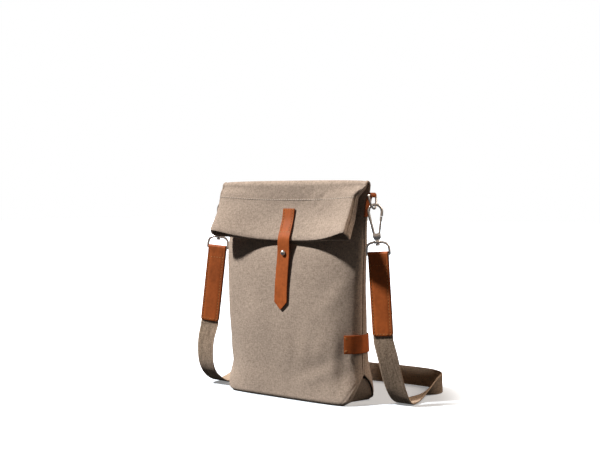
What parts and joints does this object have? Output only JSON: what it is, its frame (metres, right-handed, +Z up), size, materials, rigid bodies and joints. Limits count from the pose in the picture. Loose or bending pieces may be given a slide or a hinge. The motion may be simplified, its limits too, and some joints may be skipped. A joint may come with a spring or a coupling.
{
  "type": "crossbody bag",
  "caption": "Fold-over canvas crossbody bag on a boxed base, with a leather closure strap, snap hooks and a webbing shoulder strap laid on the floor behind it.",
  "frame": {"origin": "middle of the base's underside, on the surface that the bag stands on", "axes": "+X to the bag's right as seen from its front, +Y to its back, +Z up"},
  "size_m": [0.3002, 0.1955, 0.2701],
  "materials": {
    "canvas": "plain-woven taupe canvas",
    "leather": "smooth tan leather with stitched edges",
    "webbing": "ribbed taupe webbing",
    "metal": "bright nickel"
  },
  "bodies": {
    "bag": {"front_panel": "canvas", "back_panel": "canvas", "base_gusset": "canvas", "closure_strap": "leather", "closure_stud": "metal", "side_label": "leather", "right_strap_ring": "metal", "right_strap_end": "leather", "right_side_tab": "leather", "right_d_ring": "metal", "left_strap_ring": "metal", "left_strap_end": "leather", "left_side_tab": "leather", "left_d_ring": "metal", "strap_webbing": "webbing"},
    "right_hook": {"right_hook_frame": "metal"},
    "right_gate": {"right_hook_gate": "metal"},
    "left_hook": {"left_hook_frame": "metal"},
    "left_gate": {"left_hook_gate": "metal"}
  },
  "joints": [
    {"name": "right_hook_swivel", "type": "hinge", "parent": "bag", "child": "right_hook", "pos_m": [0.1204, -0.0052, 0.1964], "axis": [-0.0849, -0.0639, 0.9943], "range_deg": [-30, 8]},
    {"name": "right_gate_hinge", "type": "hinge", "parent": "right_hook", "child": "right_gate", "pos_m": [0.122, -0.004, 0.20496], "axis": [0.6018, -0.7986, 0], "range_deg": [0, 25], "stiffness_Nm_per_rad": 0.01, "springref_deg": -11.46},
    {"name": "left_hook_swivel", "type": "hinge", "parent": "bag", "child": "left_hook", "pos_m": [-0.1258, -0.0096, 0.1974], "axis": [0.1436, 0.046, 0.9886], "range_deg": [-20, 40]},
    {"name": "left_gate_hinge", "type": "hinge", "parent": "left_hook", "child": "left_gate", "pos_m": [-0.12745, -0.0088, 0.206], "axis": [0.1351, 0.9886, -0.0657], "range_deg": [0, 25], "stiffness_Nm_per_rad": 0.01, "springref_deg": -11.46}
  ]
}
